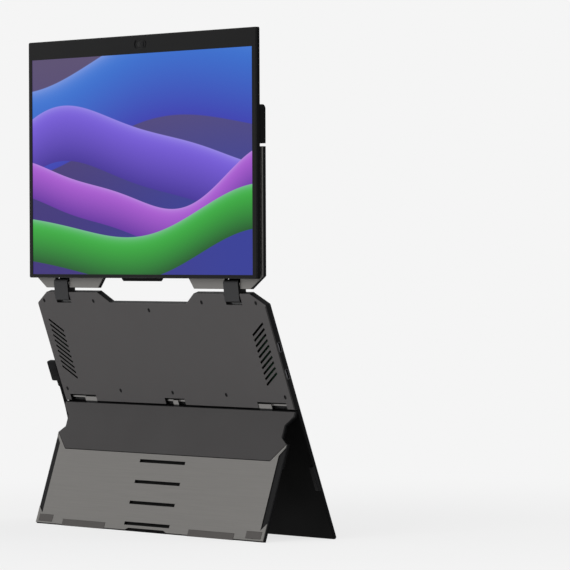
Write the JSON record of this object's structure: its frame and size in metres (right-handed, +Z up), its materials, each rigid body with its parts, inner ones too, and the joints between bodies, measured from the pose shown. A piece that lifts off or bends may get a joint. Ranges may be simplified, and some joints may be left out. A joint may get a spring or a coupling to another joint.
{
  "type": "laptop screen extender",
  "caption": "Stacked display on a riser plate and double-axis links above a leaning back panel with a folding kickstand and a plugged-in cord.",
  "frame": {"origin": "on the floor, under the middle of the object's box without the cord", "axes": "+X along the hinges, towards the side with two sockets; +Z up; the lit screen faces -Y and the laptop would be on the +Y side"},
  "size_m": [0.3724, 0.1598, 0.431],
  "materials": {
    "case_grey": "fine satin grey moulded plastic",
    "plate_alu": "dark anodised sheet",
    "dark_panel": "matt dark grey",
    "light_plate": "matt warm grey anodised sheet",
    "black_plastic": "matt black",
    "bezel_black": "semi-gloss black",
    "link_metal": "satin black-grey paint",
    "hinge_steel": "satin steel",
    "screw_steel": "blackened steel",
    "rubber": "matt grey rubber",
    "cord_rubber": "soft black jacket",
    "pcb": "green solder mask",
    "chip": "black epoxy",
    "mesh": "black woven mesh",
    "socket_steel": "plated shell",
    "lcd_stack": "light guide and glass stack, opaque",
    "screen_glass": "lit screen, anti-glare",
    "lens_glass": "dark lens",
    "flex": "amber flat cable",
    "tie_fabric": "black hook and loop strap"
  },
  "bodies": {
    "back_panel": {"rear_cover": "case_grey", "support_plate": "plate_alu", "lower_cover": "black_plastic", "base_strip": "rubber", "case_screws": "screw_steel", "main_board": "pcb", "board_chips": "chip", "side_bumpers": "bezel_black", "vent_meshes": "mesh", "lower_hinge_bracket_right": "hinge_steel", "lower_hinge_bracket_left": "hinge_steel", "lower_axles": "hinge_steel", "lower_washers": "hinge_steel", "usb_socket_upper": "socket_steel", "usb_socket_lower": "socket_steel", "usb_socket_left": "socket_steel", "kick_leaf_right": "screw_steel", "kick_leaf_left": "screw_steel", "kick_leaf_centre": "screw_steel", "kick_leaf_caps": "hinge_steel", "kick_pins": "hinge_steel", "side_plug": "cord_rubber", "side_plug_tip": "socket_steel", "side_relief": "cord_rubber", "cord": "cord_rubber", "cord_coil": "cord_rubber", "cord_end": "cord_rubber", "cord_tie": "tie_fabric", "far_plug": "cord_rubber", "far_plug_tip": "socket_steel"},
    "kickstand": {"kick_tray": "black_plastic", "kick_upper_panel": "dark_panel", "kick_lower_plate": "light_plate", "kick_side_strip_right": "bezel_black", "kick_side_strip_left": "bezel_black", "wide_foot_pads": "rubber", "small_foot_pads": "rubber", "kick_screws": "screw_steel"},
    "hinge_links": {"link_right": "link_metal", "link_left": "link_metal"},
    "riser": {"riser_front": "light_plate", "riser_back": "black_plastic", "ribbon_cable": "flex", "upper_axles": "hinge_steel", "upper_washers": "hinge_steel", "riser_screws": "screw_steel", "tilt_leaves_lower": "hinge_steel", "tilt_pins": "hinge_steel"},
    "display": {"display_bezel": "bezel_black", "display_shell": "black_plastic", "lcd_module": "lcd_stack", "screen": "screen_glass", "display_driver": "pcb", "camera_module": "chip", "webcam_lens": "lens_glass", "rear_mount": "black_plastic", "mount_screws": "screw_steel", "tilt_leaves_upper": "hinge_steel", "pull_lip": "black_plastic"},
    "webcam_shutter": {"webcam_shutter": "bezel_black"}
  },
  "joints": [
    {"name": "kickstand_hinge", "type": "hinge", "parent": "back_panel", "child": "kickstand", "pos_m": [0, -0.00092, 0.10789], "axis": [-1, 0, 0], "range_deg": [-35.8, 24]},
    {"name": "riser_fold", "type": "hinge", "parent": "back_panel", "child": "hinge_links", "pos_m": [0, -0.03113, 0.2043], "axis": [1, 0, 0], "range_deg": [-65, 60]},
    {"name": "riser_fold_upper", "type": "hinge", "parent": "hinge_links", "child": "riser", "pos_m": [0, -0.03235, 0.21593], "axis": [1, 0, 0], "range_deg": [-65, 60]},
    {"name": "display_flip", "type": "hinge", "parent": "riser", "child": "display", "pos_m": [0, -0.03025, 0.33253], "axis": [-1, 0, 0], "range_deg": [0, 180]},
    {"name": "shutter_slide", "type": "slide", "parent": "display", "child": "webcam_shutter", "axis": [-1, 0, 0], "range_m": [0, 0.007]}
  ],
  "couplings": [
    {"joint": "riser_fold_upper", "follows": "riser_fold", "ratio": 1}
  ]
}
